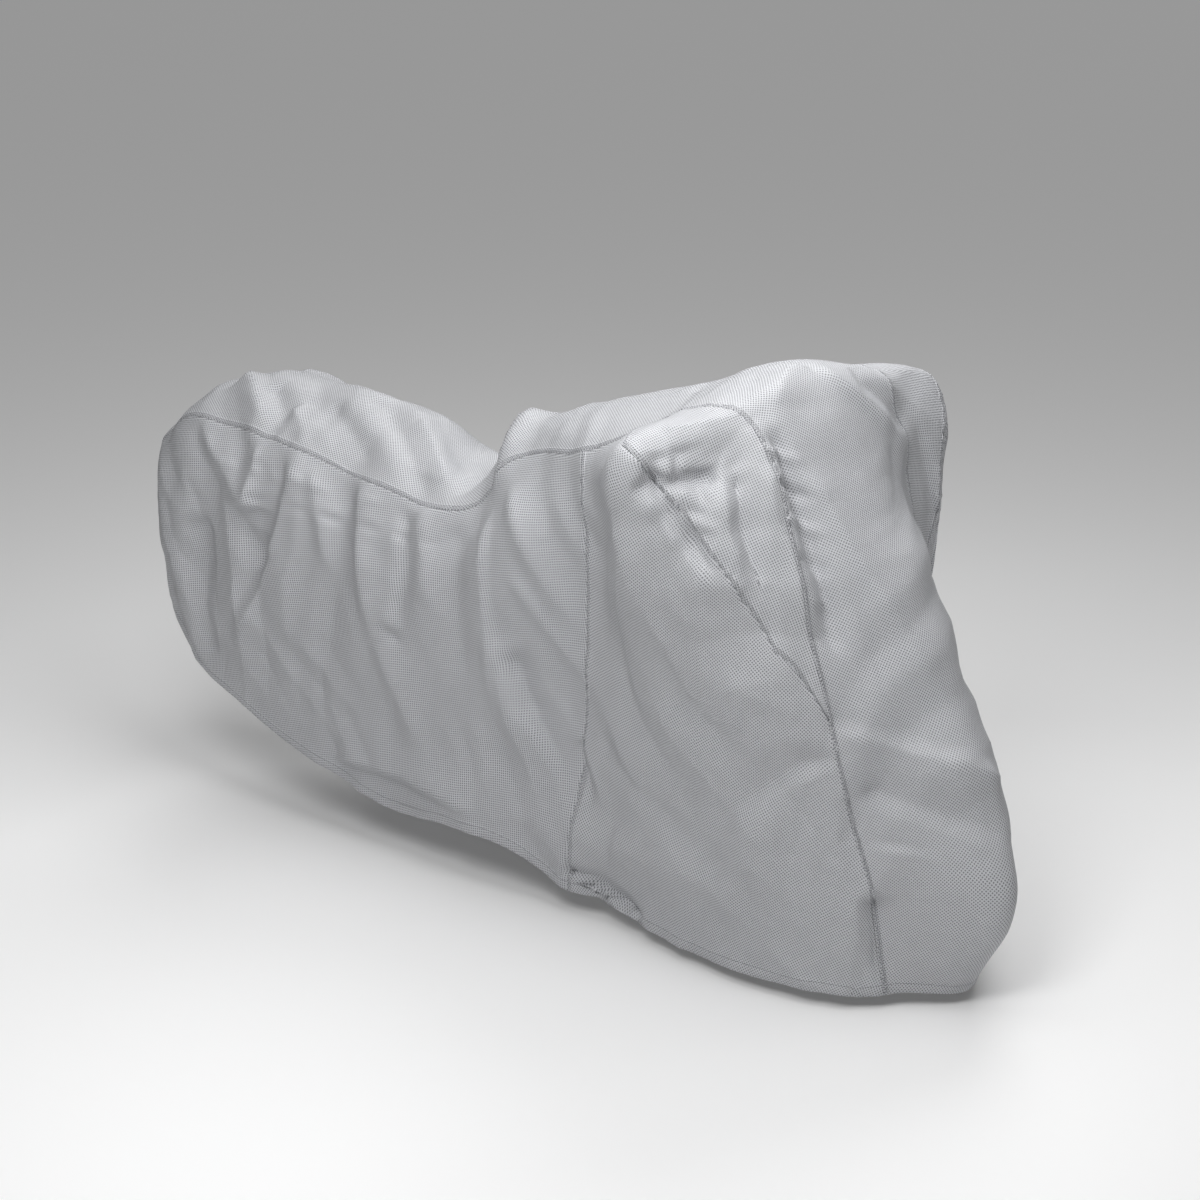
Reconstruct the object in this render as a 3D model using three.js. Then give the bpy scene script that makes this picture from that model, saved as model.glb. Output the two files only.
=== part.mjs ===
// Fitted motorcycle cover of light grey nonwoven cloth, in the shape in which it hangs in use. It is hollow
// and open below. Seven panels are sewn together: one long centre strip that runs from the tail hem over the
// top and down the front, and on each side a rear side, a front side and a gusset, which gives the cover a
// pocket at its widest place. All sizes are in millimetres, +X to the front, +Y to the left, +Z up.
import * as THREE from "three";

const sheet = 2;
const seamGap = 0.3;

// The origin lies here, just under the cloth of the top, where the cover is held up
const holdPoint = new THREE.Vector3(0, 0, 930);

// Steps along and across the panels. The right side shows, and is the finer one.
const stepsPerSection = 5;
const stripColumns = 12;
const sideColumns = { right: 15, left: 9 };
const gussetColumns = { right: 6, left: 4 };
const sides = { right: -1, left: 1 };

// How far along and across the cloth its slope is taken, and how square to a face it is when folds show in full
const slopeReach = 0.06;
const fullFacing = 0.45;

// Above 1, a crisp fold spreads out at its foot
const creaseFoot = 1.5;

// A gusset's tip is cut off at this share of its last step
const tipShare = 0.15;

// The cover is lofted through sections, from the tail hem to the front hem. Each row gives five places of the
// section's left half, as x, half width and height above the ground: its crown, its seam, the shoulder below
// the seam, the belt and the hem. The crown has its own y, because the front is drawn to one side. "turn" is
// how far the section is swung to the right about its crown, in degrees.
// section     turn  crown             seam               shoulder           belt               hem
const sections = [
  ["tailHem", 0, [-1072, 0, 405], [-1044, 140, 405], [-1015, 178, 378], [-981, 195, 347], [-936, 205, 303]],
  ["tailBack", 0, [-1106, 0, 590], [-1073, 140, 590], [-1044, 184, 540], [-975, 203, 430], [-885, 210, 277]],
  ["tailEnd", 0, [-1100, 0, 737], [-1064, 138, 742], [-1028, 190, 664], [-932, 210, 480], [-815, 212, 250]],
  ["tailTop", 0, [-1008, 0, 842], [-992, 148, 820], [-958, 198, 732], [-862, 215, 500], [-735, 206, 212]],
  ["tailDome", 0, [-860, 0, 911], [-845, 152, 831], [-830, 190, 740], [-760, 222, 500], [-640, 206, 175]],
  ["backSlope", 0, [-660, 0, 910], [-640, 155, 811], [-635, 190, 725], [-600, 225, 480], [-510, 210, 142]],
  ["backLow", 0, [-450, 0, 889], [-430, 155, 774], [-430, 190, 700], [-420, 225, 460], [-380, 203, 106]],
  ["dip", 0, [-272, 0, 808], [-195, 152, 768], [-200, 195, 700], [-200, 225, 450], [-230, 216, 114]],
  ["humpBack", 0, [-174, 0, 897], [-80, 130, 885], [-60, 200, 800], [-60, 215, 480], [-60, 218, 106]],
  ["hump", 0, [50, 0, 999], [114, 190, 946], [130, 215, 860], [135, 205, 560], [90, 218, 54]],
  ["pocketBack", 6, [270, -8, 1070], [275, 200, 1015], [309, 310, 1005], [268, 250, 560], [203, 212, 50]],
  ["pocketTip", 14.5, [449, -20, 1130], [449, 205, 1086], [449, 372, 1052], [394, 300, 600], [315, 222, 42]],
  ["frontCorner", 9, [505, -20, 1114], [496, 190, 1082], [545, 328, 900], [490, 280, 520], [385, 232, 34]],
  ["screen", 4, [605, -12, 960], [560, 201, 977], [578, 303, 790], [520, 289, 450], [457, 245, 30]],
  ["cowl", 0, [709, -10, 792], [592, 210, 840], [605, 272, 700], [560, 280, 400], [530, 252, 30]],
  ["gussetEnd", 0, [834, -12, 558], [676, 207, 560], [655, 247, 470], [630, 255, 280], [610, 247, 30]],
  ["nose", 6, [930, -35, 372], [733, 190, 385], [722, 220, 320], [709, 234, 200], [694, 240, 30]],
  ["noseTip", 10, [975, -60, 250], [781, 167, 250], [770, 189, 210], [760, 200, 140], [748, 209, 30]],
  ["frontHem", 12, [890, -60, 26], [809, 130, 29], [803, 142, 28], [795, 151, 28], [782, 166, 28]],
];

// How far the gusset reaches below the strip's seam at each section that it crosses
const gussetReach = { pocketBack: 0, pocketTip: 188, frontCorner: 245, screen: 225, cowl: 165, gussetEnd: 0 };

// Folds lie on the face from which they show. "right" and "left" give their ends as x and height, "front" and
// "back" as y and height, "top" as x and y. "bow" is how far the middle stands to the left of the line from end
// to end. Then come the half width at each end, the lift off the smooth form (less than 0 is a trough), how
// crisp its edge is from 0 to 1, and how far it leans to its left from -1 to 1.
// face      from          to           bow  widths   lift crisp lean
const folds = [
  // The tail: a long crease, the recess behind it and the facets below the seam
  ["right", [-622, 815], [-830, 320], 26, [60, 84], 20, 1, 0.5],
  ["right", [-905, 650], [-882, 262], -10, [64, 70], -20, 0, -0.2],
  ["right", [-748, 674], [-935, 838], 0, [70, 34], 14, 1, -0.3],
  ["right", [-748, 668], [-738, 840], 0, [86, 44], 26, 1, 0],
  ["right", [-712, 560], [-800, 690], 0, [60, 40], -12, 0.4, 0],
  ["top", [-895, -24], [-722, -152], -6, [54, 60], 20, 1, -0.4],
  ["top", [-800, -58], [-690, -150], 0, [40, 50], -13, 0.4, 0],
  ["top", [-715, -95], [-618, -157], 6, [40, 50], 14, 1, 0],
  // Soft drapes below the seam, from the tail to the dip
  ["right", [-596, 792], [-500, 540], 0, [36, 60], 9, 1, 0.3],
  ["right", [-500, 785], [-570, 290], 20, [50, 84], -14, 0.4, 0.2],
  ["right", [-468, 785], [-385, 420], -6, [44, 70], 16, 0.9, 0.4],
  ["right", [-396, 480], [-262, 240], 0, [56, 80], 13, 0.7, 0.2],
  ["right", [-352, 750], [-352, 500], 26, [36, 46], -13, 0.4, 0.3],
  ["right", [-310, 765], [-232, 520], 0, [40, 60], 9, 0.7, 0],
  ["right", [-390, 502], [-318, 470], 4, [16, 26], -9, 0.8, 0.2],
  ["right", [-200, 745], [-155, 400], 0, [50, 70], -9, 0.4, 0],
  ["right", [-112, 800], [-86, 360], 0, [40, 60], 11, 1, -0.5],
  ["right", [-70, 850], [140, 570], -10, [40, 60], 13, 1, 0.2],
  ["right", [-45, 690], [160, 480], -6, [34, 50], 10, 1, 0.3],
  ["right", [-56, 530], [112, 270], -14, [40, 60], -19, 0.4, 0.4],
  ["right", [-92, 560], [40, 180], -10, [40, 60], 13, 0.8, 0],
  // The layer that hangs over the hem in front of the recess, and the hem turned under
  ["right", [-535, 182], [-100, 150], 22, [60, 76], 17, 1, 0.7],
  ["right", [75, 96], [300, 40], 8, [22, 26], -19, 0.5, 0.6],
  // The front side: a broad band from the pocket, the break above the hem and the pull at the side seam
  ["right", [330, 930], [440, 560], 0, [60, 80], 11, 0.8, -0.3],
  ["right", [160, 400], [432, 272], -10, [50, 80], -14, 0.4, 0.3],
  ["right", [700, 505], [426, 268], -16, [44, 80], -15, 0.4, -0.4],
  ["right", [180, 190], [540, 200], 0, [70, 80], 12, 0.4, 0],
  ["right", [600, 400], [480, 120], 0, [50, 60], 7, 0.8, 0],
  ["right", [545, 260], [556, 70], 0, [40, 50], -10, 0.6, 0],
  ["right", [105, 380], [150, 240], 0, [28, 36], -15, 0.7, 0],
  // The pocket: the seam drawn in below its corner and the pleats beside the front seam
  ["top", [385, -330], [480, -195], 0, [24, 30], 9, 1, 0],
  ["top", [425, -362], [532, -212], 0, [34, 38], -19, 0.3, 0],
  ["right", [384, 990], [520, 985], 0, [46, 50], -17, 0.8, 0],
  ["right", [395, 1040], [540, 800], -6, [26, 30], -16, 0.8, 0.2],
  ["right", [528, 1010], [640, 680], 4, [20, 24], 13, 1, 0.3],
  ["right", [503, 1000], [590, 760], 0, [22, 26], -19, 0.9, 0],
  ["right", [476, 1035], [560, 800], 0, [18, 22], 11, 1, 0],
  // The front: recess beside the seam, ridges from the peak and the slack folds above the hem
  ["front", [-178, 1065], [-194, 620], 0, [24, 32], -25, 0.9, 0.3],
  ["top", [458, -15], [515, -190], 0, [60, 50], 12, 0.9, 0],
  ["front", [-15, 1128], [190, 930], 0, [28, 66], 13, 1, 0.3],
  ["front", [62, 1108], [228, 965], 0, [36, 50], -13, 0.4, 0],
  ["front", [-140, 985], [-40, 560], -12, [40, 84], 13, 1, 0.4],
  ["front", [-222, 545], [60, 400], 0, [50, 80], 12, 1, -0.5],
  ["front", [-196, 432], [0, 330], 0, [44, 66], -12, 0.4, 0.3],
  ["front", [-160, 330], [-195, 205], 0, [34, 44], 12, 1, 0],
  ["front", [-186, 235], [-178, 40], 0, [26, 34], -15, 0.8, 0],
  ["front", [60, 300], [-30, 90], 0, [60, 70], 8, 0.9, 0],
  // The top: slack over the back and the roll that crosses the dip
  ["top", [-640, -60], [-440, -148], 0, [38, 50], -13, 0.4, -0.2],
  ["top", [-560, -2], [-300, -146], 0, [44, 54], -15, 0.4, 0.3],
  ["top", [-440, -10], [-250, -125], 0, [46, 54], 12, 1, 0],
  ["top", [-170, 60], [-118, -172], 12, [40, 46], 28, 0.8, 0.4],
  ["top", [-262, 70], [-232, -150], 0, [34, 44], -19, 0.5, 0],
  // The left side, which hangs in like folds
  ["left", [-640, 815], [-850, 340], -24, [54, 80], 20, 1, -0.4],
  ["left", [-540, 790], [-600, 290], -14, [50, 80], -15, 0.4, 0],
  ["left", [-470, 785], [-395, 330], 8, [46, 74], 16, 0.9, 0.2],
  ["left", [-320, 765], [-290, 420], 0, [40, 60], -13, 0.7, 0],
  ["left", [-190, 770], [-120, 330], 10, [40, 70], 13, 0.9, 0],
  ["left", [-60, 840], [120, 470], 10, [40, 60], 13, 1, 0],
  ["left", [-40, 560], [110, 210], 12, [40, 60], -18, 0.4, -0.3],
  ["left", [190, 900], [330, 420], 0, [50, 80], 12, 0.8, 0],
  ["left", [240, 390], [470, 250], 10, [44, 70], -16, 0.4, 0],
  ["left", [700, 500], [480, 250], 12, [44, 70], -16, 0.4, 0.3],
  ["left", [-440, 180], [-60, 140], -20, [50, 70], 15, 1, -0.6],
  ["left", [430, 940], [500, 660], 0, [40, 60], -12, 0.4, 0],
  ["top", [-850, 60], [-700, 152], 8, [40, 54], 12, 1, 0.3],
  ["top", [-560, 60], [-420, 150], 0, [40, 54], -14, 0.4, 0],
  // The back of the tail
  ["back", [-70, 790], [-95, 430], 0, [40, 60], -13, 0.4, 0],
  ["back", [30, 830], [55, 420], 0, [46, 66], 13, 0.9, 0],
  ["back", [110, 760], [120, 450], 0, [36, 50], -12, 0.4, 0],
];

const faces = {
  right: { axes: ["x", "z"], outward: new THREE.Vector3(0, -1, 0) },
  left: { axes: ["x", "z"], outward: new THREE.Vector3(0, 1, 0) },
  front: { axes: ["y", "z"], outward: new THREE.Vector3(1, 0, 0) },
  back: { axes: ["y", "z"], outward: new THREE.Vector3(-1, 0, 0) },
  top: { axes: ["x", "y"], outward: new THREE.Vector3(0, 0, 1) },
};

const rowOf = (name) => sections.findIndex((row) => row[0] === name);
const lastRow = sections.length - 1;
const sideSeamRow = rowOf("hump");
const gussetStart = rowOf("pocketBack");
const gussetEnd = rowOf("gussetEnd");

// A smooth curve through points, with knots as far apart as the points are. "at" counts points, so 1.5 lies
// halfway along the second stretch.
function knotsOf(points) {
  const knots = [0];
  for (let i = 1; i < points.length; i++) {
    knots.push(knots[i - 1] + Math.max(points[i].distanceTo(points[i - 1]), 1));
  }
  return knots;
}

function slopeAt(points, knots, i) {
  const last = points.length - 1;
  const before = Math.max(i - 1, 0);
  const after = Math.min(i + 1, last);
  if (before === i || after === i) {
    return points[after].clone().sub(points[before]).divideScalar(knots[after] - knots[before]);
  }
  const left = knots[i] - knots[before];
  const right = knots[after] - knots[i];
  const leftSlope = points[i].clone().sub(points[before]).divideScalar(left);
  const rightSlope = points[after].clone().sub(points[i]).divideScalar(right);
  return leftSlope.multiplyScalar(right).add(rightSlope.multiplyScalar(left)).divideScalar(left + right);
}

function curvePoint(points, knots, at) {
  const i = Math.min(Math.max(Math.floor(at), 0), points.length - 2);
  const t = at - i;
  const span = knots[i + 1] - knots[i];
  const start = slopeAt(points, knots, i).multiplyScalar(span);
  const end = slopeAt(points, knots, i + 1).multiplyScalar(span);
  return points[i].clone().multiplyScalar(2 * t ** 3 - 3 * t ** 2 + 1)
    .addScaledVector(start, t ** 3 - 2 * t ** 2 + t)
    .addScaledVector(points[i + 1], -2 * t ** 3 + 3 * t ** 2)
    .addScaledVector(end, t ** 3 - t ** 2);
}

// Each section as nine points, from the right hem over the crown to the left hem
const sectionCurves = sections.map(([, turn, crown, ...half]) => {
  const angle = THREE.MathUtils.degToRad(turn);
  const swung = ([x, width, z], side) => {
    const ahead = x - crown[0];
    return new THREE.Vector3(
      crown[0] + ahead * Math.cos(angle) + side * width * Math.sin(angle),
      crown[1] - ahead * Math.sin(angle) + side * width * Math.cos(angle),
      z);
  };
  const right = half.map((place) => swung(place, -1)).reverse();
  const left = half.map((place) => swung(place, 1));
  const points = [...right, new THREE.Vector3(...crown), ...left];
  return { points, knots: knotsOf(points) };
});

// "across" runs from -2 at the right hem over -1 at the right seam and 0 at the crown to 2 at the left hem.
// Here is which of a section's nine points lies at each whole number.
const edgePoint = { "-2": 0, "-1": 3, 0: 4, 1: 5, 2: 8 };

function sectionPoint(section, across) {
  const { points, knots } = sectionCurves[section];
  const whole = Math.min(Math.max(Math.floor(across), -2), 1);
  const from = knots[edgePoint[whole]];
  const to = knots[edgePoint[whole + 1]];
  const knot = from + (to - from) * (across - whole);
  let i = points.length - 2;
  while (i > 0 && knots[i] > knot) i--;
  return curvePoint(points, knots, i + (knot - knots[i]) / (knots[i + 1] - knots[i]));
}

// The smooth form of the cloth: "along" counts sections from the tail hem
const stringers = new Map();
function formPoint(along, across) {
  if (!stringers.has(across)) {
    const points = sections.map((row, i) => sectionPoint(i, across));
    stringers.set(across, { points, knots: knotsOf(points) });
  }
  const { points, knots } = stringers.get(across);
  return curvePoint(points, knots, along);
}

function normalOf(surface, along, across) {
  const low = Math.max(along - slopeReach, 0);
  const high = Math.min(along + slopeReach, lastRow);
  const right = Math.max(across - slopeReach, -2);
  const left = Math.min(across + slopeReach, 2);
  const forward = surface(high, across).sub(surface(low, across));
  const sideways = surface(along, left).sub(surface(along, right));
  return forward.cross(sideways).normalize();
}

function ease(share) {
  const t = Math.min(Math.max(share, 0), 1);
  return t * t * (3 - 2 * t);
}

// How far one fold lifts a place of the smooth form. It comes in over the first eighth of its length, fades
// out over the last third, and leaves alone what faces another way.
function foldLift([face, from, to, bow, widths, lift, crisp, lean], place, normal) {
  const { axes, outward } = faces[face];
  const facing = ease(normal.dot(outward) / fullFacing);
  const span = [to[0] - from[0], to[1] - from[1]];
  const length = Math.hypot(...span);
  const offset = axes.map((axis, i) => place[axis] - from[i]);
  const t = (offset[0] * span[0] + offset[1] * span[1]) / length ** 2;
  if (facing === 0 || t <= 0 || t >= 1) return 0;
  const aside = (offset[1] * span[0] - offset[0] * span[1]) / length - bow * 4 * t * (1 - t);
  const width = (widths[0] + (widths[1] - widths[0]) * t) * (1 + lean * Math.sign(aside));
  const near = 1 - Math.abs(aside) / width;
  if (near <= 0) return 0;
  const section = ease(near) * (1 - crisp) + near ** creaseFoot * crisp;
  return lift * section * ease(8 * t) * ease(3 * (1 - t)) * facing;
}

function clothPoint(along, across) {
  const place = formPoint(along, across);
  const normal = normalOf(formPoint, along, across);
  const lift = folds.reduce((sum, fold) => sum + foldLift(fold, place, normal), 0);
  return place.addScaledVector(normal, lift);
}

function clothPlace(along, across) {
  return { along, across, point: clothPoint(along, across), normal: normalOf(clothPoint, along, across) };
}

// A cell of the grid is split along the diagonal that lies nearer to the cloth at the cell's middle
function firstDiagonal(a, b, c, d) {
  const corners = [a, b, c, d];
  const mean = (key) => corners.reduce((sum, place) => sum + place[key], 0) / corners.length;
  const middle = clothPoint(mean("along"), mean("across"));
  const offFrom = (one, other) => one.point.clone().lerp(other.point, 0.5).distanceTo(middle);
  return offFrom(a, c) <= offFrom(b, d);
}

// A grid of cloth places becomes one closed sheet, its edges drawn in by a little over half the seam gap
function sheetGeometry(grid) {
  const rows = grid.length;
  const columns = grid[0].length;
  const outer = grid.map((line) => line.map((place) => place.point.clone()));
  const drawIn = (i, j, toI, toJ) => {
    const inward = grid[toI][toJ].point.clone().sub(grid[i][j].point).normalize();
    outer[i][j].addScaledVector(inward, 0.6 * seamGap);
  };
  for (let i = 0; i < rows; i++) {
    drawIn(i, 0, i, 1);
    drawIn(i, columns - 1, i, columns - 2);
  }
  for (let j = 0; j < columns; j++) {
    drawIn(0, j, 1, j);
    drawIn(rows - 1, j, rows - 2, j);
  }
  const positions = [];
  const lay = (depth) => outer.forEach((line, i) => line.forEach((point, j) => {
    positions.push(...point.clone().addScaledVector(grid[i][j].normal, -depth).sub(holdPoint).toArray());
  }));
  lay(0);
  lay(sheet);
  const at = (layer, i, j) => (layer * rows + i) * columns + j;
  const index = [];
  const quad = (a, b, c, d, first = true) => {
    index.push(...(first ? [a, b, c, a, c, d] : [a, b, d, b, c, d]));
  };
  for (let i = 0; i + 1 < rows; i++) {
    for (let j = 0; j + 1 < columns; j++) {
      const first = firstDiagonal(grid[i][j], grid[i + 1][j], grid[i + 1][j + 1], grid[i][j + 1]);
      quad(at(0, i, j), at(0, i + 1, j), at(0, i + 1, j + 1), at(0, i, j + 1), first);
      quad(at(1, i, j), at(1, i, j + 1), at(1, i + 1, j + 1), at(1, i + 1, j), first);
    }
    quad(at(0, i, 0), at(1, i, 0), at(1, i + 1, 0), at(0, i + 1, 0));
    quad(at(0, i, columns - 1), at(0, i + 1, columns - 1), at(1, i + 1, columns - 1), at(1, i, columns - 1));
  }
  for (let j = 0; j + 1 < columns; j++) {
    quad(at(0, 0, j), at(0, 0, j + 1), at(1, 0, j + 1), at(1, 0, j));
    quad(at(0, rows - 1, j), at(1, rows - 1, j), at(1, rows - 1, j + 1), at(0, rows - 1, j + 1));
  }
  const geometry = new THREE.BufferGeometry();
  geometry.setAttribute("position", new THREE.Float32BufferAttribute(positions, 3));
  geometry.setIndex(index);
  geometry.computeVertexNormals();
  return geometry;
}

function between(from, to, count) {
  return Array.from({ length: count + 1 }, (unused, i) => from + (to - from) * i / count);
}

// The lower edge of the gusset as a share of the way from the seam to the hem
function gussetShare(along) {
  if (along <= gussetStart || along >= gussetEnd) return 0;
  const row = Math.floor(along);
  const share = (at) => {
    const { knots } = sectionCurves[at];
    return gussetReach[sections[at][0]] / (knots[edgePoint[2]] - knots[edgePoint[1]]);
  };
  return THREE.MathUtils.lerp(share(row), share(row + 1), along - row);
}

const stations = (from, to) => between(from, to, (to - from) * stepsPerSection);

function stripGrid() {
  return stations(0, lastRow).map((along) => between(-1, 1, stripColumns).map((across) => (
    clothPlace(along, across))));
}

// Lines across a side, from its upper edge to its lower one, turned so that both sides face outwards
function sideLines(side, from, to, edges, columns) {
  return stations(from, to).map((along) => {
    const [upper, lower] = edges(along);
    const places = between(side * (1 + upper), side * (1 + lower), columns)
      .map((across) => clothPlace(along, across));
    return side > 0 ? places : places.reverse();
  });
}

function sideGrid(name, from, to) {
  return sideLines(sides[name], from, to, (along) => [gussetShare(along), 1], sideColumns[name]);
}

function gussetGrid(name) {
  const edges = (along) => [0, gussetShare(along)];
  const lines = sideLines(sides[name], gussetStart, gussetEnd, edges, gussetColumns[name]);
  const blend = (from, to) => ({
    along: THREE.MathUtils.lerp(from.along, to.along, tipShare),
    across: THREE.MathUtils.lerp(from.across, to.across, tipShare),
    point: from.point.clone().lerp(to.point, tipShare),
    normal: from.normal.clone().lerp(to.normal, tipShare).normalize(),
  });
  const last = lines.length - 1;
  lines[0] = lines[0].map((place, j) => blend(place, lines[1][j]));
  lines[last] = lines[last].map((place, j) => blend(place, lines[last - 1][j]));
  return lines;
}

function panel(name, grid, shade) {
  const material = new THREE.MeshStandardMaterial({ color: shade, roughness: 0.85, metalness: 0 });
  const mesh = new THREE.Mesh(sheetGeometry(grid), material);
  mesh.name = name;
  return mesh;
}

const topShade = "#c3c4c8";
const sideShade = "#a9aaad";
const cover = new THREE.Group();
cover.add(panel("centre_strip", stripGrid(), topShade));
for (const name of Object.keys(sides)) {
  cover.add(panel(`${name}_rear_side`, sideGrid(name, 0, sideSeamRow), sideShade));
  cover.add(panel(`${name}_front_side`, sideGrid(name, sideSeamRow, lastRow), sideShade));
  cover.add(panel(`${name}_gusset`, gussetGrid(name), sideShade));
}

export default cover;
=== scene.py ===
"""Fitted motorcycle cover of light grey nonwoven cloth, in the shape in which it hangs in use.

Seven panels are sewn together: a centre strip from the tail hem over the top and down the front, and on
each side a rear side, a front side and a gusset. Sizes are in millimetres with heights above the ground,
until a mesh is made. +X is the front, +Y the left.
"""

import math

import bpy
import numpy as np
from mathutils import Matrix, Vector, noise
from mathutils.kdtree import KDTree


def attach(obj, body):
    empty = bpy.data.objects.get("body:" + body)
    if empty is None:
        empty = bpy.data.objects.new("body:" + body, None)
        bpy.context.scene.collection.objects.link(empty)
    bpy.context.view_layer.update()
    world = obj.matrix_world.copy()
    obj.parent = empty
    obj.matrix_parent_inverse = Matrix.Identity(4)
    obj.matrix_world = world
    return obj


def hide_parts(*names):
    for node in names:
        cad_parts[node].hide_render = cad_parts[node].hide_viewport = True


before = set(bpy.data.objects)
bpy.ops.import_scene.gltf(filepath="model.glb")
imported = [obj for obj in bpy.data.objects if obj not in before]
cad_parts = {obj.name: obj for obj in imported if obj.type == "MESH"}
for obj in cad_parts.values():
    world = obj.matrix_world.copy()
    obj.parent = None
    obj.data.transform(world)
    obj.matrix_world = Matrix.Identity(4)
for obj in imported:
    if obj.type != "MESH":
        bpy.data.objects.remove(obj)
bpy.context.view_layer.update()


# The camera stands in front of the cover's right side, a little above it, as a photographer does who wants
# the whole length in view. Its place is in metres over the ground, which lies well below the hold point.
hold_height = 0.930
camera_place = Vector((2.80, -3.73, 2.22 - hold_height))
camera_yaw = 36.79
camera_pitch = 19.39
lens_mm = 75.0
sensor_mm = 36.0


def looking(yaw, pitch):
    """The way from the camera's target back to the camera."""
    yaw, pitch = math.radians(yaw), math.radians(pitch)
    return Vector((math.sin(yaw) * math.cos(pitch), -math.cos(yaw) * math.cos(pitch), math.sin(pitch)))


camera_data = bpy.data.cameras.new("camera")
camera_data.lens = lens_mm
camera_data.sensor_width = sensor_mm
camera = bpy.data.objects.new("camera", camera_data)
camera.location = camera_place
camera.rotation_euler = (-looking(camera_yaw, camera_pitch)).to_track_quat("-Z", "Y").to_euler()
bpy.context.scene.collection.objects.link(camera)
bpy.context.scene.camera = camera


# The shape in which the cloth hangs. It is lofted through sections from the tail hem to the front hem. Each
# row gives five places of the section's left half, as x, half width and height: crown, seam, shoulder, belt
# and hem. "turn" swings the section to the right about its crown, in degrees.
# section       turn  crown             seam               shoulder           belt               hem
sections = [
    ["tailHem", 0, [-1072, 0, 405], [-1044, 140, 405], [-1015, 178, 378], [-981, 195, 347], [-936, 205, 303]],
    ["tailBack", 0, [-1106, 0, 590], [-1073, 140, 590], [-1044, 184, 540], [-975, 203, 430], [-885, 210, 277]],
    ["tailEnd", 0, [-1100, 0, 737], [-1064, 138, 742], [-1028, 190, 664], [-932, 210, 480], [-815, 212, 250]],
    ["tailTop", 0, [-1008, 0, 842], [-992, 148, 820], [-958, 198, 732], [-862, 215, 500], [-735, 206, 212]],
    ["tailDome", 0, [-860, 0, 911], [-845, 152, 831], [-830, 190, 740], [-760, 222, 500], [-640, 206, 175]],
    ["backSlope", 0, [-660, 0, 910], [-640, 155, 811], [-635, 190, 725], [-600, 225, 480], [-510, 210, 142]],
    ["backLow", 0, [-450, 0, 889], [-430, 155, 774], [-430, 190, 700], [-420, 225, 460], [-380, 203, 106]],
    ["dip", 0, [-272, 0, 808], [-195, 152, 768], [-200, 195, 700], [-200, 225, 450], [-230, 216, 114]],
    ["humpBack", 0, [-174, 0, 897], [-80, 130, 885], [-60, 200, 800], [-60, 215, 480], [-60, 218, 106]],
    ["hump", 0, [50, 0, 999], [114, 190, 946], [130, 215, 860], [135, 205, 560], [90, 218, 54]],
    ["pocketBack", 6, [270, -8, 1070], [275, 200, 1015], [309, 310, 1005], [268, 250, 560], [203, 212, 50]],
    ["pocketTip", 14.5, [449, -20, 1130], [449, 205, 1086], [449, 372, 1052], [394, 300, 600], [315, 222, 42]],
    ["frontCorner", 9, [505, -20, 1114], [496, 190, 1082], [545, 328, 900], [490, 280, 520], [385, 232, 34]],
    ["screen", 4, [605, -12, 960], [560, 201, 977], [578, 303, 790], [520, 289, 450], [457, 245, 30]],
    ["cowl", 0, [709, -10, 792], [592, 210, 840], [605, 272, 700], [560, 280, 400], [530, 252, 30]],
    ["gussetEnd", 0, [834, -12, 558], [676, 207, 560], [655, 247, 470], [630, 255, 280], [610, 247, 30]],
    ["nose", 6, [930, -35, 372], [733, 190, 385], [722, 220, 320], [709, 234, 200], [694, 240, 30]],
    ["noseTip", 10, [975, -60, 250], [781, 167, 250], [770, 189, 210], [760, 200, 140], [748, 209, 30]],
    ["frontHem", 12, [890, -60, 26], [809, 130, 29], [803, 142, 28], [795, 151, 28], [782, 166, 28]],
]

# How far the gusset reaches below the strip's seam at each section that it crosses
gusset_reach = {
    "pocketBack": 0,
    "pocketTip": 188,
    "frontCorner": 245,
    "screen": 225,
    "cowl": 165,
    "gussetEnd": 0,
}

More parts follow.
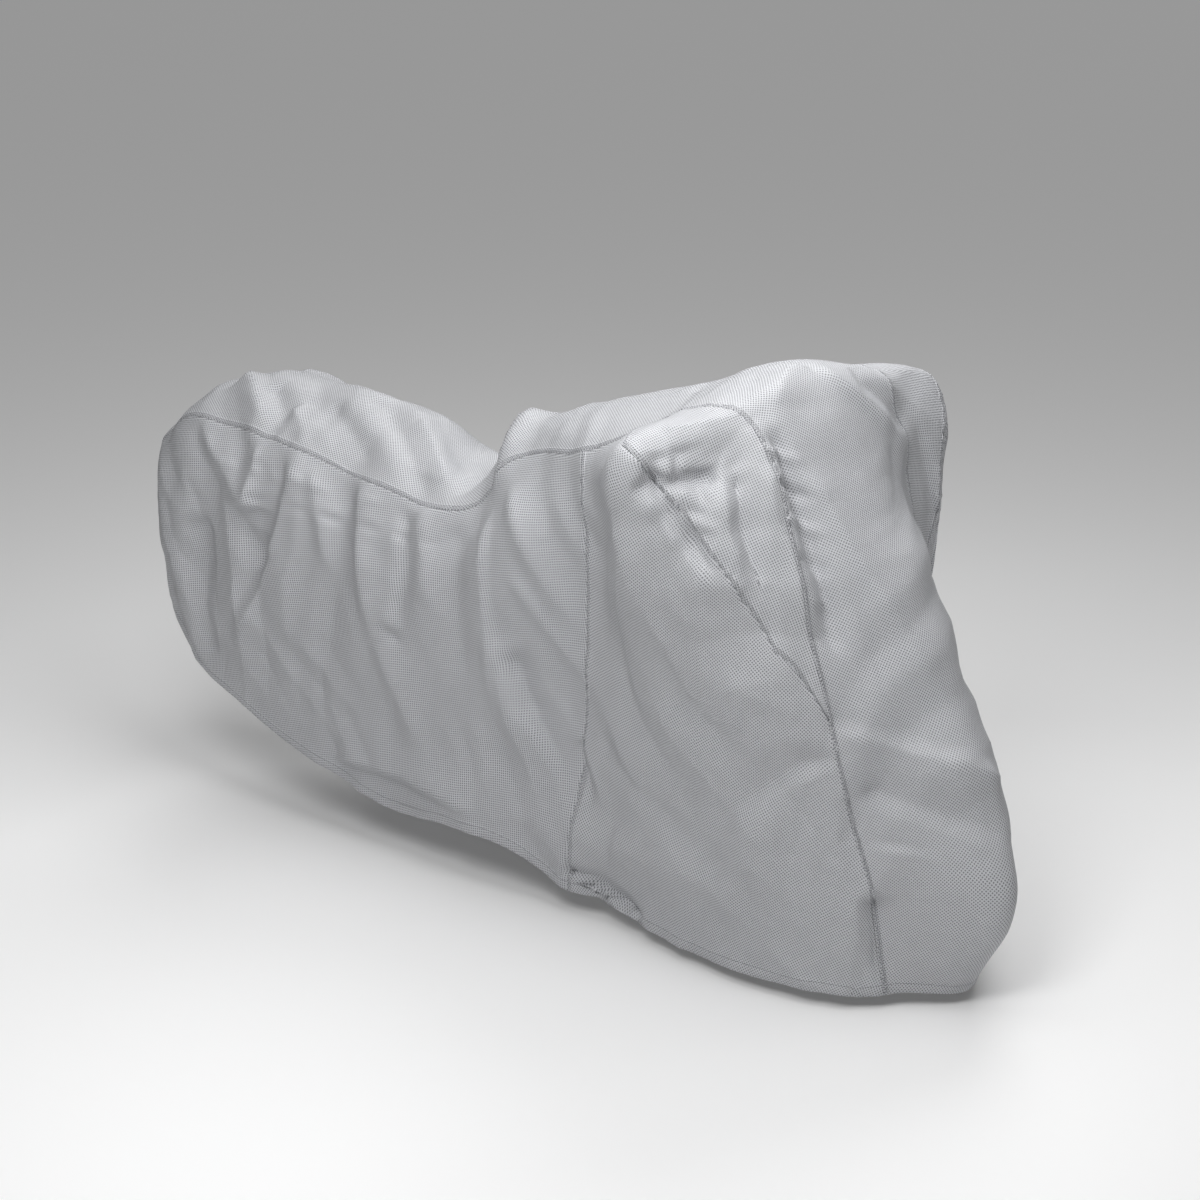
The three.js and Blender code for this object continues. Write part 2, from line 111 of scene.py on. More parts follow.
# Folds lie on the face from which they show. "right" and "left" give their ends as x and height, "front"
# and "back" as y and height, "top" as x and y. "bow" is how far the middle stands to the left of the line
# from end to end. Then come the half width at each end, the lift off the smooth form (less than 0 is a
# trough), how crisp its edge is from 0 to 1, and how far it leans to its left from -1 to 1.
# face        from          to           bow  widths   lift crisp lean
folds = [
    # The tail: a long crease, the recess behind it and the facets below the seam
    ["right", [-622, 815], [-830, 320], 26, [60, 84], 20, 1, 0.5],
    ["right", [-905, 650], [-882, 262], -10, [64, 70], -20, 0, -0.2],
    ["right", [-748, 674], [-935, 838], 0, [70, 34], 14, 1, -0.3],
    ["right", [-748, 668], [-738, 840], 0, [86, 44], 26, 1, 0],
    ["right", [-712, 560], [-800, 690], 0, [60, 40], -12, 0.4, 0],
    ["top", [-895, -24], [-722, -152], -6, [54, 60], 20, 1, -0.4],
    ["top", [-800, -58], [-690, -150], 0, [40, 50], -13, 0.4, 0],
    ["top", [-715, -95], [-618, -157], 6, [40, 50], 14, 1, 0],
    # Soft drapes below the seam, from the tail to the dip
    ["right", [-596, 792], [-500, 540], 0, [36, 60], 9, 1, 0.3],
    ["right", [-500, 785], [-570, 290], 20, [50, 84], -14, 0.4, 0.2],
    ["right", [-468, 785], [-385, 420], -6, [44, 70], 16, 0.9, 0.4],
    ["right", [-396, 480], [-262, 240], 0, [56, 80], 13, 0.7, 0.2],
    ["right", [-352, 750], [-352, 500], 26, [36, 46], -13, 0.4, 0.3],
    ["right", [-310, 765], [-232, 520], 0, [40, 60], 9, 0.7, 0],
    ["right", [-390, 502], [-318, 470], 4, [16, 26], -9, 0.8, 0.2],
    ["right", [-200, 745], [-155, 400], 0, [50, 70], -9, 0.4, 0],
    ["right", [-112, 800], [-86, 360], 0, [40, 60], 11, 1, -0.5],
    ["right", [-70, 850], [140, 570], -10, [40, 60], 13, 1, 0.2],
    ["right", [-45, 690], [160, 480], -6, [34, 50], 10, 1, 0.3],
    ["right", [-56, 530], [112, 270], -14, [40, 60], -19, 0.4, 0.4],
    ["right", [-92, 560], [40, 180], -10, [40, 60], 13, 0.8, 0],
    # The layer that hangs over the hem in front of the recess, and the hem turned under
    ["right", [-535, 182], [-100, 150], 22, [60, 76], 17, 1, 0.7],
    ["right", [75, 96], [300, 40], 8, [22, 26], -19, 0.5, 0.6],
    # The front side: a broad band from the pocket, the break above the hem and the pull at the side seam
    ["right", [330, 930], [440, 560], 0, [60, 80], 11, 0.8, -0.3],
    ["right", [160, 400], [432, 272], -10, [50, 80], -14, 0.4, 0.3],
    ["right", [700, 505], [426, 268], -16, [44, 80], -15, 0.4, -0.4],
    ["right", [180, 190], [540, 200], 0, [70, 80], 12, 0.4, 0],
    ["right", [600, 400], [480, 120], 0, [50, 60], 7, 0.8, 0],
    ["right", [545, 260], [556, 70], 0, [40, 50], -10, 0.6, 0],
    ["right", [105, 380], [150, 240], 0, [28, 36], -15, 0.7, 0],
    # The pocket: the seam drawn in below its corner and the pleats beside the front seam
    ["top", [385, -330], [480, -195], 0, [24, 30], 9, 1, 0],
    ["top", [425, -362], [532, -212], 0, [34, 38], -19, 0.3, 0],
    ["right", [384, 990], [520, 985], 0, [46, 50], -17, 0.8, 0],
    ["right", [395, 1040], [540, 800], -6, [26, 30], -16, 0.8, 0.2],
    ["right", [528, 1010], [640, 680], 4, [20, 24], 13, 1, 0.3],
    ["right", [503, 1000], [590, 760], 0, [22, 26], -19, 0.9, 0],
    ["right", [476, 1035], [560, 800], 0, [18, 22], 11, 1, 0],
    # The front: recess beside the seam, ridges from the peak and the slack folds above the hem
    ["front", [-178, 1065], [-194, 620], 0, [24, 32], -25, 0.9, 0.3],
    ["top", [458, -15], [515, -190], 0, [60, 50], 12, 0.9, 0],
    ["front", [-15, 1128], [190, 930], 0, [28, 66], 13, 1, 0.3],
    ["front", [62, 1108], [228, 965], 0, [36, 50], -13, 0.4, 0],
    ["front", [-140, 985], [-40, 560], -12, [40, 84], 13, 1, 0.4],
    ["front", [-222, 545], [60, 400], 0, [50, 80], 12, 1, -0.5],
    ["front", [-196, 432], [0, 330], 0, [44, 66], -12, 0.4, 0.3],
    ["front", [-160, 330], [-195, 205], 0, [34, 44], 12, 1, 0],
    ["front", [-186, 235], [-178, 40], 0, [26, 34], -15, 0.8, 0],
    ["front", [60, 300], [-30, 90], 0, [60, 70], 8, 0.9, 0],
    # The top: slack over the back and the roll that crosses the dip
    ["top", [-640, -60], [-440, -148], 0, [38, 50], -13, 0.4, -0.2],
    ["top", [-560, -2], [-300, -146], 0, [44, 54], -15, 0.4, 0.3],
    ["top", [-440, -10], [-250, -125], 0, [46, 54], 12, 1, 0],
    ["top", [-170, 60], [-118, -172], 12, [40, 46], 28, 0.8, 0.4],
    ["top", [-262, 70], [-232, -150], 0, [34, 44], -19, 0.5, 0],
    # The left side, which hangs in like folds
    ["left", [-640, 815], [-850, 340], -24, [54, 80], 20, 1, -0.4],
    ["left", [-540, 790], [-600, 290], -14, [50, 80], -15, 0.4, 0],
    ["left", [-470, 785], [-395, 330], 8, [46, 74], 16, 0.9, 0.2],
    ["left", [-320, 765], [-290, 420], 0, [40, 60], -13, 0.7, 0],
    ["left", [-190, 770], [-120, 330], 10, [40, 70], 13, 0.9, 0],
    ["left", [-60, 840], [120, 470], 10, [40, 60], 13, 1, 0],
    ["left", [-40, 560], [110, 210], 12, [40, 60], -18, 0.4, -0.3],
    ["left", [190, 900], [330, 420], 0, [50, 80], 12, 0.8, 0],
    ["left", [240, 390], [470, 250], 10, [44, 70], -16, 0.4, 0],
    ["left", [700, 500], [480, 250], 12, [44, 70], -16, 0.4, 0.3],
    ["left", [-440, 180], [-60, 140], -20, [50, 70], 15, 1, -0.6],
    ["left", [430, 940], [500, 660], 0, [40, 60], -12, 0.4, 0],
    ["top", [-850, 60], [-700, 152], 8, [40, 54], 12, 1, 0.3],
    ["top", [-560, 60], [-420, 150], 0, [40, 54], -14, 0.4, 0],
    # The back of the tail
    ["back", [-70, 790], [-95, 430], 0, [40, 60], -13, 0.4, 0],
    ["back", [30, 830], [55, 420], 0, [46, 66], 13, 0.9, 0],
    ["back", [110, 760], [120, 450], 0, [36, 50], -12, 0.4, 0],
]

# Which two axes a face's places are given in, and the way it faces
faces = {
    "right": ([0, 2], [0, -1, 0]),
    "left": ([0, 2], [0, 1, 0]),
    "front": ([1, 2], [1, 0, 0]),
    "back": ([1, 2], [-1, 0, 0]),
    "top": ([0, 1], [0, 0, 1]),
}
slope_reach = 0.06
full_facing = 0.45

# Above 1, a crisp fold spreads out at its foot
crease_foot = 1.5

row_names = [row[0] for row in sections]
last_row = len(sections) - 1
side_seam_row = row_names.index("hump")
gusset_start = row_names.index("pocketBack")
gusset_end = row_names.index("gussetEnd")


def take(values, i):
    """From each line of values, the entry that i names."""
    return values[np.arange(len(i)), i]


def slope_at(points, knots, i):
    """The slope of a smooth curve at its point i, which leans to the nearer neighbour."""
    before = np.maximum(i - 1, 0)
    after = np.minimum(i + 1, points.shape[1] - 1)
    left = (take(knots, i) - take(knots, before))[:, None]
    right = (take(knots, after) - take(knots, i))[:, None]
    left_slope = (take(points, i) - take(points, before)) / np.where(left > 0, left, 1)
    right_slope = (take(points, after) - take(points, i)) / np.where(right > 0, right, 1)
    mixed = (left_slope * right + right_slope * left) / (left + right)
    return np.where(left == 0, right_slope, np.where(right == 0, left_slope, mixed))


def curve_point(points, knots, i, knot):
    """A place on a smooth curve through points, in the stretch that starts at point i."""
    span = (take(knots, i + 1) - take(knots, i))[:, None]
    t = (knot - take(knots, i))[:, None] / span
    start = slope_at(points, knots, i) * span
    end = slope_at(points, knots, i + 1) * span
    return (take(points, i) * (2 * t**3 - 3 * t**2 + 1) + start * (t**3 - 2 * t**2 + t)
            + take(points, i + 1) * (-2 * t**3 + 3 * t**2) + end * (t**3 - t**2))


def section_outline(row):
    """A section as nine points, from the right hem over the crown to the left hem."""
    _, turn, crown, *half = row
    angle = math.radians(turn)
    outline = [crown]
    for x, width, z in half:
        for side in (-1, 1):
            ahead = x - crown[0]
            place = [crown[0] + ahead * math.cos(angle) + side * width * math.sin(angle),
                     crown[1] - ahead * math.sin(angle) + side * width * math.cos(angle), z]
            outline.insert(0 if side < 0 else len(outline), place)
    return outline


section_points = np.array([section_outline(row) for row in sections], float)
section_steps = np.linalg.norm(np.diff(section_points, axis=1), axis=2)
section_knots = np.concatenate([np.zeros((last_row + 1, 1)), np.cumsum(section_steps, axis=1)], axis=1)

# "across" runs from -2 at the right hem over -1 at the right seam and 0 at the crown to 2 at the left hem.
# Here is which of a section's nine points lies at each whole number.
edge_point = np.array([0, 3, 4, 5, 8])


def section_point(row, across):
    whole = np.clip(np.floor(across), -2, 1).astype(int)
    low = section_knots[row, edge_point[whole + 2]]
    high = section_knots[row, edge_point[whole + 3]]
    knot = low + (high - low) * (across - whole)
    i = np.clip((section_knots[row] <= knot[:, None]).sum(axis=1) - 1, 0, 7)
    return curve_point(section_points[row], section_knots[row], i, knot)


def form_point(along, across):
    """The smooth form of the cloth, where along counts sections from the tail hem."""
    i = np.clip(np.floor(along), 0, last_row - 1).astype(int)
    rows = np.clip(i[:, None] + np.arange(-1, 3), 0, last_row)
    points = np.stack([section_point(rows[:, k], across) for k in range(4)], axis=1)
    steps = np.linalg.norm(np.diff(points, axis=1), axis=2)
    steps = np.where(np.diff(rows, axis=1) > 0, np.maximum(steps, 1), 0)
    knots = np.concatenate([np.zeros((len(i), 1)), np.cumsum(steps, axis=1)], axis=1)
    second = np.ones(len(i), int)
    return curve_point(points, knots, second, knots[:, 1] + (knots[:, 2] - knots[:, 1]) * (along - i))


def normal_of(surface, along, across):
    low, high = np.maximum(along - slope_reach, 0), np.minimum(along + slope_reach, last_row)
    right, left = np.maximum(across - slope_reach, -2), np.minimum(across + slope_reach, 2)
    forward = surface(high, across) - surface(low, across)
    leftward = surface(along, left) - surface(along, right)
    normal = np.cross(forward, leftward)
    return normal / np.linalg.norm(normal, axis=1)[:, None]


def ease(share):
    t = np.clip(share, 0, 1)
    return t * t * (3 - 2 * t)


def fold_lift(fold, place, normal):
    """How far one fold lifts each place of the smooth form. It comes in over the first eighth of its
    length, fades out over the last third, and leaves alone what faces another way."""
    face, start, end, bow, widths, lift, crisp, lean = fold
    axes, outward = faces[face]
    facing = ease(normal @ np.array(outward, float) / full_facing)
    span = np.subtract(end, start).astype(float)
    length = math.hypot(*span)
    offset = place[:, axes] - start
    t = offset @ span / length**2
    aside = (offset[:, 1] * span[0] - offset[:, 0] * span[1]) / length - bow * 4 * t * (1 - t)
    width = (widths[0] + (widths[1] - widths[0]) * t) * (1 + lean * np.sign(aside))
    near = np.clip(1 - np.abs(aside) / np.where(width > 1, width, 1), 0, 1)
    section = ease(near) * (1 - crisp) + near**crease_foot * crisp
    return lift * section * ease(8 * t) * ease(3 * (1 - t)) * facing


def cloth_point(along, across):
    place = form_point(along, across)
    normal = normal_of(form_point, along, across)
    lift = sum(fold_lift(fold, place, normal) for fold in folds)
    return place + normal * lift[:, None]


# Seven panels of silver grey spunbond polypropylene, a nonwoven cloth about half a millimetre thick,
# embossed with a fine lattice of dots. Each is cut flat and creases almost like paper. A flat felled seam
# runs along the edge where it laps over its neighbour, and its lower edge is a turned hem.
sheet = 1.0
edge_gap = 0.15
gusset_tip = 0.01
rows_per_section = 22
scale_step = 0.02
sides = {"right": -1, "left": 1}

# An edge in section, from the edge inwards: how far in and how far proud of the cloth
edge_profiles = {
    "plain": [[0, 0], [4, 0], [9, 0]],
    "seam": [[0, 0.5], [0.6, 0.9], [1.5, 1.0], [2.3, 0.5], [3.1, 1.0], [7.2, 1.0], [8.0, 0.5], [8.8, 1.0],
             [10.2, 0.9], [11, 0.2], [13, 0], [18, 0]],
    "hem": [[0, 0.3], [0.8, 0.8], [19, 0.8], [20, 0.5], [21, 0.8], [23, 0.7], [24, 0.1], [27, 0], [34, 0]],
}

# kind            columns   edges behind, ahead, below and above; the strip has a side below and above
panel_kinds = {
    "centre_strip": [44, "hem", "hem", "seam", "seam"],
    "rear_side": [84, "hem", "plain", "hem", "plain"],
    "front_side": [84, "seam", "hem", "hem", "plain"],
    "gusset": [26, "plain", "plain", "seam", "plain"],
}
panel_names = ["centre_strip"] + [f"{side}_{kind}" for side in sides for kind in list(panel_kinds)[1:]]


def gusset_share(along):
    """The lower edge of the gusset as a share of the way from the strip's seam to the hem."""
    whole = section_knots[:, edge_point[4]] - section_knots[:, edge_point[3]]
    reach = np.array([gusset_reach.get(name, 0) for name in row_names])
    return np.interp(along, np.arange(last_row + 1), reach / whole)


def panel_plan(name):
    """A panel's kind, how many columns it has, and its edges behind, ahead, on its right and on its left."""
    kind = name if name in panel_kinds else name.partition("_")[2]
    columns, behind, ahead, below, above = panel_kinds[kind]
    right_edge, left_edge = (above, below) if name.startswith("left") else (below, above)
    return kind, columns, [behind, ahead, right_edge, left_edge]


def panel_edges(name):
    """A panel's first and last section, and its right and left edge across as functions of along."""
    side_name, _, kind = name.partition("_")
    side = sides.get(side_name)
    if side is None:
        return 0, last_row, lambda along: -1 + 0 * along, lambda along: 1 + 0 * along
    edges = {
        "gusset": (lambda along: side * (1 + gusset_share(along)), lambda along: side + 0 * along),
        "rear_side": (lambda along: 2 * side + 0 * along, lambda along: side + 0 * along),
        "front_side": (lambda along: 2 * side + 0 * along, lambda along: side * (1 + gusset_share(along))),
    }
    ends = {
        "gusset": (gusset_start + gusset_tip, gusset_end - gusset_tip),
        "rear_side": (0, side_seam_row),
        "front_side": (side_seam_row, last_row),
    }
    lower, upper = edges[kind]
    return (*ends[kind], lower, upper) if side < 0 else (*ends[kind], upper, lower)


def cloth_scale(along, across, ahead, aside):
    """Millimetres of cloth for one whole step along or across."""
    moved = form_point(along + ahead, across + aside) - form_point(along, across)
    return np.linalg.norm(moved, axis=1) / np.abs(ahead + aside)


def edge_steps(profile, scale, room):
    """How far in the vertices of an edge lie, which close up where the panel is narrow."""
    inwards = np.array([step for step, _ in edge_profiles[profile]], float)[:, None] + edge_gap
    return inwards * np.minimum(1, room * scale / (4 * inwards[-1])) / scale


def spread(low, high, low_steps, high_steps, count):
    """Places from low to high: the given steps in from both ends, and even ones between them."""
    inner_low, inner_high = low + low_steps[-1], high - high_steps[-1]
    even = inner_low + (inner_high - inner_low) * np.linspace(0, 1, count + 1)[1:-1, None]
    return np.concatenate([low + low_steps, even, (high - high_steps)[::-1]])


def edge_heights(low_profile, high_profile, count):
    low = [height for _, height in edge_profiles[low_profile]]
    high = [height for _, height in edge_profiles[high_profile]]
    return np.array(low + [0] * (count - 1) + high[::-1])


def panel_grid(name):
    """Along and across for each vertex of a panel, and how proud of the cloth its seams and hems stand."""
    first, last, right, left = panel_edges(name)
    _, columns, (behind, ahead, right_edge, left_edge) = panel_plan(name)
    rows = round((last - first) * rows_per_section)
    nominal = np.linspace(first, last, rows + 1)
    low, high = right(nominal), left(nominal)
    inside = np.minimum(scale_step, (high - low) / 2)
    low_steps = edge_steps(right_edge, cloth_scale(nominal, low, 0, inside), high - low)
    high_steps = edge_steps(left_edge, cloth_scale(nominal, high, 0, -inside), high - low)
    across = spread(low, high, low_steps, high_steps, columns)
    start_scale = cloth_scale(np.full(len(across), float(first)), across[:, 0], scale_step, 0)
    end_scale = cloth_scale(np.full(len(across), float(last)), across[:, -1], -scale_step, 0)
    along = spread(first, last, edge_steps(behind, start_scale, last - first),
                   edge_steps(ahead, end_scale, last - first), rows)
    across = np.stack([np.interp(along[:, j], nominal, across[j]) for j in range(len(across))], axis=1)
    proud = edge_heights(behind, ahead, rows)[:, None] + edge_heights(right_edge, left_edge, columns)[None]
    return along, across, proud


def grid_normals(points):
    normal = np.cross(np.gradient(points, axis=0), np.gradient(points, axis=1))
    return normal / np.maximum(np.linalg.norm(normal, axis=-1), 1e-9)[..., None]


def noise_at(places, size, seed):
    """Smooth noise from -1 to 1 whose lumps are about the given size."""
    spots = (places / size + seed * 17.3).reshape(-1, 3).tolist()
    return np.array([noise.noise(spot) for spot in spots]).reshape(places.shape[:-1])


# Cloth that creases like paper breaks into flat facets. Waves with sharp crests cross each other over it,
# each in patches of its own that are a little more than twice as wide as the waves.
# way across the creases, distance between them, depth
crease_waves = [
    [(0.93, 0.2, 0.3), 230, 8],
    [(0.75, 0.2, -0.63), 170, 5.5],
    [(-0.3, 0.35, 0.89), 250, 7],
    [(0.5, -0.3, 0.81), 110, 3],
    [(0.98, 0.1, 0.17), 90, 2.4],
]
crease_wander = 0.9
patch_width = 2.2
patch_share = 0.3
patch_seed = 7


def facets(places):
    lift = 0
    for seed, (way, size, depth) in enumerate(crease_waves):
        run = places @ np.array(way) / size + crease_wander * noise_at(places, 2 * size, seed)
        wave = np.abs(run % 1 * 4 - 2) - 1
        patch = np.clip(patch_share + 2 * noise_at(places, patch_width * size, seed + patch_seed), 0, 1)
        lift = lift + depth * wave * patch
    return lift


def on_curves(grid, down, over):
    """A value of a grid at shares of the way down and over it, on smooth curves between its entries."""
    spots = []
    for share, count in [(down, grid.shape[0]), (over, grid.shape[1])]:
        whole = np.clip(np.floor(share * (count - 1)), 0, count - 2).astype(int)
        t = share * (count - 1) - whole
        weights = [(-t + 2 * t**2 - t**3) / 2, (2 - 5 * t**2 + 3 * t**3) / 2,
                   (t + 4 * t**2 - 3 * t**3) / 2, (t**3 - t**2) / 2]
        spots.append([(np.clip(whole + k - 1, 0, count - 1), weight) for k, weight in enumerate(weights)])
    return sum(grid[i, j] * (a * b)[..., None] for i, a in spots[0] for j, b in spots[1])


def folded_cloth(along, across):
    """Places of the cloth on a grid, with its folds and facets, before it settles."""
    places = cloth_point(along.ravel(), across.ravel()).reshape(*along.shape, 3)
    return places + grid_normals(places) * facets(places)[..., None]


def grid_quads(at):
    """The faces of a grid, of which at gives the vertex numbers."""
    return np.stack([at[:-1, :-1], at[1:, :-1], at[1:, 1:], at[:-1, 1:]], axis=-1).reshape(-1, 4)


# The cover is cut a little wider than what it hides. Cloth simulation lets the whole of it settle and
# buckle between its seams, on a grid coarser than the panels. What bears it is left out, so springs hold
# the seams and the crown near their places, and the rest loosely.
drape_rows = 12
drape_columns = 32
drape_frames = 24
drape_gravity = 0.3
drape_smoothing = 2
spare_cloth = [1.035, 1.02, 1.005]
held_seams = 0.6
held_crown = 0.4
held_loosely = 0.02
seam_hold_reach = 14
crown_hold_reach = 0.8

# About how much cloth a step across has on the sides, and a step along beside the side seam
step_across = 300
step_along = 150

nonwoven = {
    "quality": 5,
    "mass": 0.05,
    "air_damping": 3,
    "tension_stiffness": 40,
    "compression_stiffness": 40,
    "shear_stiffness": 20,
    "tension_damping": 10,
    "compression_damping": 10,
    "shear_damping": 10,
    "bending_model": "ANGULAR",
    "bending_stiffness": 0.5,
    "bending_damping": 1,
    "pin_stiffness": 5,
}


def settled():
    """How far each place of the drape grid moves as the cloth settles, in mm."""
    rows = np.linspace(0, last_row, last_row * drape_rows + 1)
    columns = np.linspace(-2, 2, 4 * drape_columns + 1)
    along, across = np.meshgrid(rows, columns, indexing="ij")
    start = folded_cloth(along, across)
    mesh = bpy.data.meshes.new("drape")
    at = np.arange(along.size).reshape(along.shape)
    mesh.from_pydata((start.reshape(-1, 3) / 1000).tolist(), [], grid_quads(at).tolist())
    drape = bpy.data.objects.new("drape", mesh)
    bpy.context.scene.collection.objects.link(drape)
    drape.shape_key_add(name="start")
    cut = drape.shape_key_add(name="cut")
    middle = start.reshape(-1, 3).mean(axis=0)
    cut.data.foreach_set("co", ((middle + (start - middle) * spare_cloth) / 1000).ravel())
    cut.value = 0

    from_strip_seam = np.abs(np.abs(across) - 1) * step_across
    from_side_seam = np.where(np.abs(across) > 1, np.abs(along - side_seam_row) * step_along, np.inf)
    seam_hold = np.exp(-((np.minimum(from_strip_seam, from_side_seam) / seam_hold_reach) ** 2))
    crown_hold = held_crown * np.exp(-((across / crown_hold_reach) ** 4))
    hold = np.maximum(held_loosely + (held_seams - held_loosely) * seam_hold, crown_hold)
    held = drape.vertex_groups.new(name="held")
    for i, weight in enumerate(hold.ravel().tolist()):
        held.add([i], weight, "REPLACE")

    modifier = drape.modifiers.new("Cloth", "CLOTH")
    for key, value in nonwoven.items():
        setattr(modifier.settings, key, value)
    modifier.settings.vertex_group_mass = "held"
    modifier.settings.rest_shape_key = cut
    modifier.settings.effector_weights.gravity = drape_gravity
    modifier.collision_settings.use_collision = False
    modifier.collision_settings.use_self_collision = False
    modifier.point_cache.frame_end = drape_frames
    for frame_number in range(1, drape_frames + 1):
        bpy.context.scene.frame_set(frame_number)
    result = drape.evaluated_get(bpy.context.evaluated_depsgraph_get()).data
    end = np.empty(along.size * 3)
    result.vertices.foreach_get("co", end)
    bpy.context.scene.frame_set(1)
    bpy.data.objects.remove(drape)
    bpy.data.meshes.remove(mesh)
    moved = end.reshape(start.shape) * 1000 - start
    for _ in range(drape_smoothing):
        for axis in (0, 1):
            first, last = np.take(moved, [0], axis), np.take(moved, [-1], axis)
            padded = np.concatenate([first, moved, last], axis=axis)
            count = moved.shape[axis]
            before, here, after = [np.take(padded, np.arange(count) + k, axis) for k in range(3)]
            moved = (before + 2 * here + after) / 4
    return moved


drape = settled()

# The finest relief is faint crumpled facets all over
crumple_size = 48
crumple_depth = 1.0
crumple_seed = 11.7
usual_gap = 0.45


def crumples(places):
    """Small facets that meet in sharp creases, from the distance to the nearest of scattered points."""
    spots = (places / crumple_size + crumple_seed).reshape(-1, 3).tolist()
    near = np.array([noise.voronoi(spot)[0][0] for spot in spots]).reshape(places.shape[:-1])
    return crumple_depth * (near - usual_gap) * (1 + 2 * noise_at(places, 3 * crumple_size, 3))


# Short gathers that cross the pocket's seam and the seam beside the front, listed as the folds are
# face        from          to           bow  widths   lift crisp lean
gathers = [
    ["right", [396, 1024], [452, 1034], 0, [10, 14], -8, 1, 0],
    ["right", [405, 1004], [474, 1003], 0, [10, 16], 9, 1, 0],
    ["right", [416, 984], [472, 976], 0, [10, 14], -10, 1, 0],
    ["right", [428, 963], [494, 958], 0, [11, 16], 9, 1, 0],
    ["right", [440, 942], [488, 928], 0, [10, 14], -9, 1, 0],
    ["right", [458, 915], [512, 902], 0, [10, 14], 7, 1, 0],
    ["right", [408, 1000], [376, 962], 0, [12, 9], -9, 1, 0],
    ["right", [422, 974], [392, 915], 0, [11, 9], 9, 1, 0],
    ["right", [436, 948], [408, 884], 0, [12, 9], -10, 1, 0],
    ["right", [452, 922], [434, 862], 0, [11, 9], 7, 1, 0],
    ["right", [470, 896], [450, 830], 0, [12, 10], -7, 1, 0],
    ["front", [-212, 1030], [-140, 990], 0, [12, 18], 7, 1, 0],
    ["front", [-212, 975], [-146, 925], 0, [12, 18], -8, 1, 0],
    ["front", [-214, 915], [-150, 868], 0, [12, 18], 8, 1, 0],
    ["front", [-216, 850], [-160, 806], 0, [12, 18], -8, 1, 0],
    ["front", [-217, 780], [-168, 742], 0, [12, 18], 7, 1, 0],
    ["front", [-218, 712], [-172, 684], 0, [12, 16], -6, 1, 0],
]


def cloth_grid(along, across):
    """Places of the settled cloth on a grid, with all its relief but the puckers."""
    places = folded_cloth(along, across) + on_curves(drape, along / last_row, (across + 2) / 4)
    normals = grid_normals(places)
    flat = places.reshape(-1, 3)
    drawn_in = sum(fold_lift(fold, flat, normals.reshape(-1, 3)) for fold in gathers)
    return places + normals * (crumples(places) + drawn_in.reshape(along.shape))[..., None]


# Beside the seams the stitching draws the cloth in, and it puckers. The pockets' seams are drawn in hardest,
# around the section given here. A crease is shallow right at the stitches, and some stretches stay calm.
pucker_size = 19
pucker_depth = 1.3
pucker_slant = 0.7
pucker_reach = 30
pucker_start = 14
pucker_at_stitches = 0.4
pucker_sharpness = 2.6
usual_pucker = 0.7
pucker_change = 0.9
calm_stretch = 8
gathered_row = row_names.index("pocketTip") + 0.6
gathered_reach = 1.3
gathered_more = 2.6
stations_per_section = 50
side_seam_stations = 300


def seam_runs():
    """Each seam as its places, the length of cloth from its start, and how hard it is drawn in."""
    def run(along, across, most):
        places = form_point(along, across)
        steps = np.linalg.norm(np.diff(places, axis=0), axis=1)
        gathered = most * np.exp(-(((along - gathered_row) / gathered_reach) ** 2))
        return places, np.concatenate([[0], np.cumsum(steps)]), 1 + gathered

    stations = np.linspace(0, last_row, stations_per_section * last_row + 1)
    beside = stations[(stations >= gusset_start) & (stations <= gusset_end)]
    at_side_seam = np.full(side_seam_stations, float(side_seam_row))
    runs = []
    for side in sides.values():
        runs.append(run(stations, side + 0 * stations, gathered_more))
        runs.append(run(beside, side * (1 + gusset_share(beside)), gathered_more))
        runs.append(run(at_side_seam, np.linspace(side, 2 * side, side_seam_stations), 0))
    return runs


def puckers(places):
    """Short slanting creases beside each seam, which die away within a hand's breadth."""
    lift = np.zeros(len(places))
    for seed, (line, length, drawn_in) in enumerate(seam_runs()):
        tree = KDTree(len(line))
        for i, spot in enumerate(line):
            tree.insert(spot, i)
        tree.balance()
        found = [tree.find(spot) for spot in places.tolist()]
        nearest = np.array([hit[1] for hit in found])
        off = np.array([hit[2] for hit in found])
        run = ((length[nearest] + pucker_slant * off) / pucker_size).tolist()
        waves = 1 - pucker_sharpness * np.abs([noise.noise((at, seed * 9.1, 0)) for at in run])
        calm = np.array([noise.noise((at / calm_stretch, seed * 5.3, 4)) for at in run])
        coming = pucker_at_stitches + (1 - pucker_at_stitches) * ease(off / pucker_start)
        fading = ease(1 - off / pucker_reach) * coming
        lift += pucker_depth * drawn_in[nearest] * waves * (usual_pucker + pucker_change * calm) * fading
    return lift


